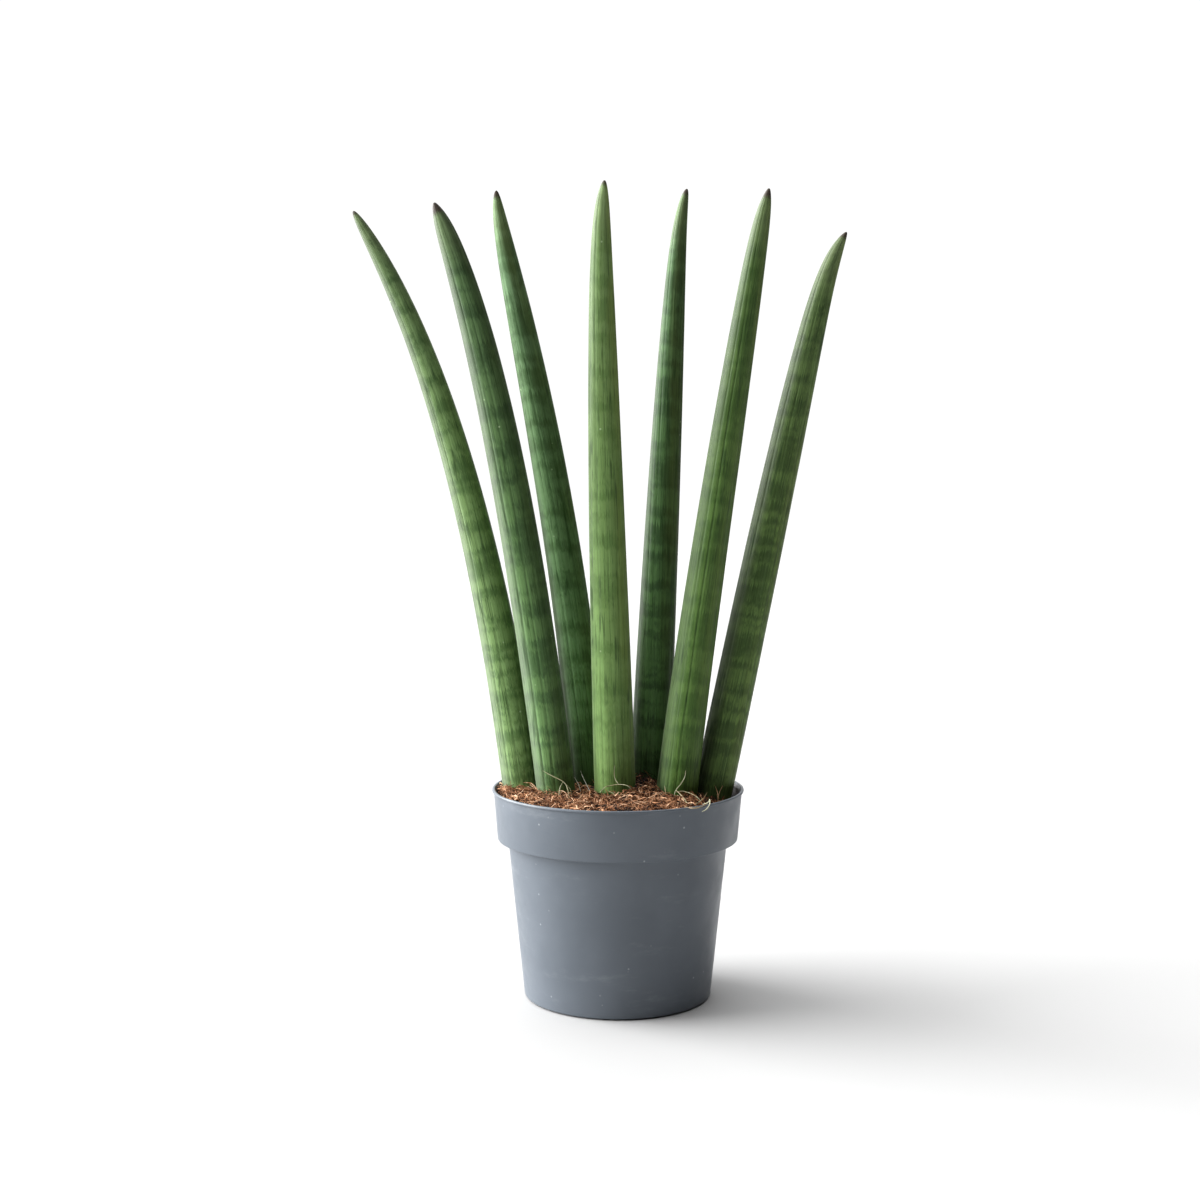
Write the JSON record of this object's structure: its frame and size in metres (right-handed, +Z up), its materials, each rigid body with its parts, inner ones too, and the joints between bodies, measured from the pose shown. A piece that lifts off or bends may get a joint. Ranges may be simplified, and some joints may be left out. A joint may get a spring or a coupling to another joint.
{
  "type": "cylindrical snake plant",
  "caption": "Cylindrical snake plant: tall round grooved leaves fanned out of coir soil in a collared nursery pot, standing on the pot's flat underside.",
  "frame": {"origin": "centre of the pot's flat underside, on the surface that the pot stands on", "axes": "+Z up, +X to the right across the fan of leaves seen from the front, +Y to the back"},
  "size_m": [0.2346, 0.12, 0.3866],
  "materials": {
    "pot_plastic": "satin moulded polypropylene, blue-grey",
    "coir_soil": "loose coconut coir and peat, dull orange-brown fibres",
    "leaf_skin": "waxy satin living leaf, green with paler and darker cross bands and fine dark lengthwise grooves"
  },
  "bodies": {
    "root": {"pot": "pot_plastic", "soil": "coir_soil", "leaf_1": "leaf_skin", "leaf_2": "leaf_skin", "leaf_3": "leaf_skin", "leaf_4": "leaf_skin", "leaf_5": "leaf_skin", "leaf_6": "leaf_skin", "leaf_7": "leaf_skin"}
  },
  "joints": []
}
